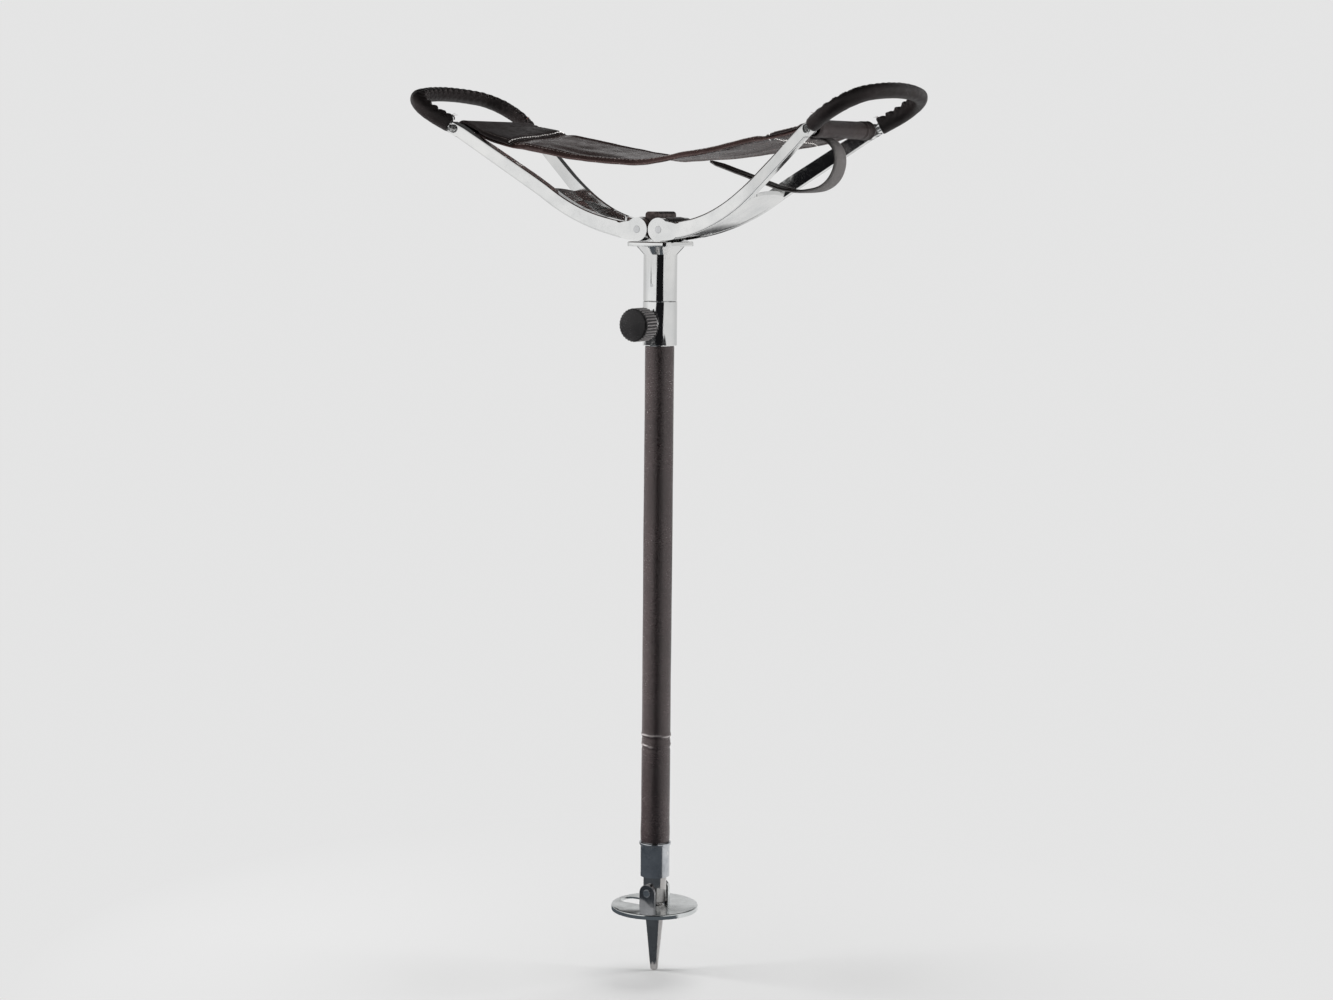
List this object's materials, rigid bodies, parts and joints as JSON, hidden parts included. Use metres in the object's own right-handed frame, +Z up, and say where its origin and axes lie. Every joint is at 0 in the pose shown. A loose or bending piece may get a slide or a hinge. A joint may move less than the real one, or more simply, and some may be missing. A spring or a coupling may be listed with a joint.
{
  "type": "walking stick seat",
  "caption": "Walking stick seat: a covered shaft with a spiked disc foot, a clamp knob for height, and hinged handles that spread a leather sling.",
  "frame": {"origin": "on the shaft's axis, level with the rim of the foot disc, where the spike's shank leaves it", "axes": "+Z up along the shaft, +X towards the handle that carries the strap, -Y towards the clamp knob"},
  "size_m": [0.4512, 0.1454, 0.7597],
  "materials": {
    "polished_metal": "polished casting, lightly handled",
    "worn_steel": "worn, dark steel",
    "bright_steel": "turned and wiped clean",
    "disc_metal": "polished, slightly hazed",
    "dark_steel": "dark, oiled steel",
    "black_plastic": "satin moulded, ribbed",
    "brass": "turned",
    "cover_leather": "fine-grained, close fitting",
    "grip_leather": "smooth, stretched over the loop",
    "lacing": "laced edge",
    "sling_leather": "glossy, creased, with stitched edges",
    "strap_leather": "grained, with a black tip",
    "bush_plastic": "plain moulded"
  },
  "bodies": {
    "shaft": {"shaft_tube": "worn_steel", "shaft_cover": "cover_leather", "clamp_collar": "polished_metal", "collar_bush": "bush_plastic", "ferrule": "worn_steel", "ferrule_pin": "worn_steel", "ground_spike": "dark_steel", "disc_pivot_pin": "dark_steel"},
    "foot_disc": {"foot_disc": "disc_metal", "disc_ear_near": "dark_steel", "disc_ear_far": "dark_steel"},
    "clamp_pad": {"clamp_pad": "brass"},
    "knob": {"knob": "black_plastic", "knob_screw": "bright_steel"},
    "head": {"head_casting": "polished_metal", "inner_tube": "bright_steel", "inner_tube_bush": "bush_plastic", "socket_pin": "polished_metal", "hinge_pin_left": "polished_metal", "hinge_pin_right": "polished_metal", "hinge_washers": "dark_steel", "seat_sling": "sling_leather"},
    "handle_left": {"handle_frame_left": "polished_metal", "cross_bar_left": "bright_steel", "bar_screws_left": "bright_steel", "grip_cover_left": "grip_leather", "grip_lacing_left": "lacing"},
    "handle_right": {"handle_frame_right": "polished_metal", "cross_bar_right": "bright_steel", "bar_screws_right": "bright_steel", "grip_cover_right": "grip_leather", "grip_lacing_right": "lacing", "wrist_strap": "strap_leather"}
  },
  "joints": [
    {"name": "head_slide", "type": "slide", "parent": "shaft", "child": "head", "axis": [0, 0, 1], "range_m": [0, 0.2]},
    {"name": "left_handle_fold", "type": "hinge", "parent": "head", "child": "handle_left", "pos_m": [-0.0104, 0, 0.5853], "axis": [0, 1, 0], "range_deg": [0, 60], "deforming": ["seat_sling"]},
    {"name": "right_handle_fold", "type": "hinge", "parent": "head", "child": "handle_right", "pos_m": [0.0104, 0, 0.5853], "axis": [0, -1, 0], "range_deg": [0, 60], "deforming": ["seat_sling"]},
    {"name": "foot_disc_tilt", "type": "hinge", "parent": "shaft", "child": "foot_disc", "pos_m": [0, 0, 0.016], "axis": [0, -1, 0], "range_deg": [0, 52]},
    {"name": "clamp_pad_slide", "type": "slide", "parent": "shaft", "child": "clamp_pad", "axis": [0, -1, 0], "range_m": [0, 0.00075]},
    {"name": "knob_turn", "type": "hinge", "parent": "clamp_pad", "child": "knob", "pos_m": [0, -0.03, 0.50655], "axis": [0, -1, 0], "range_deg": [0, 270]}
  ],
  "couplings": [
    {"joint": "knob_turn", "follows": "clamp_pad_slide", "rad_per_m": 6283.2}
  ]
}
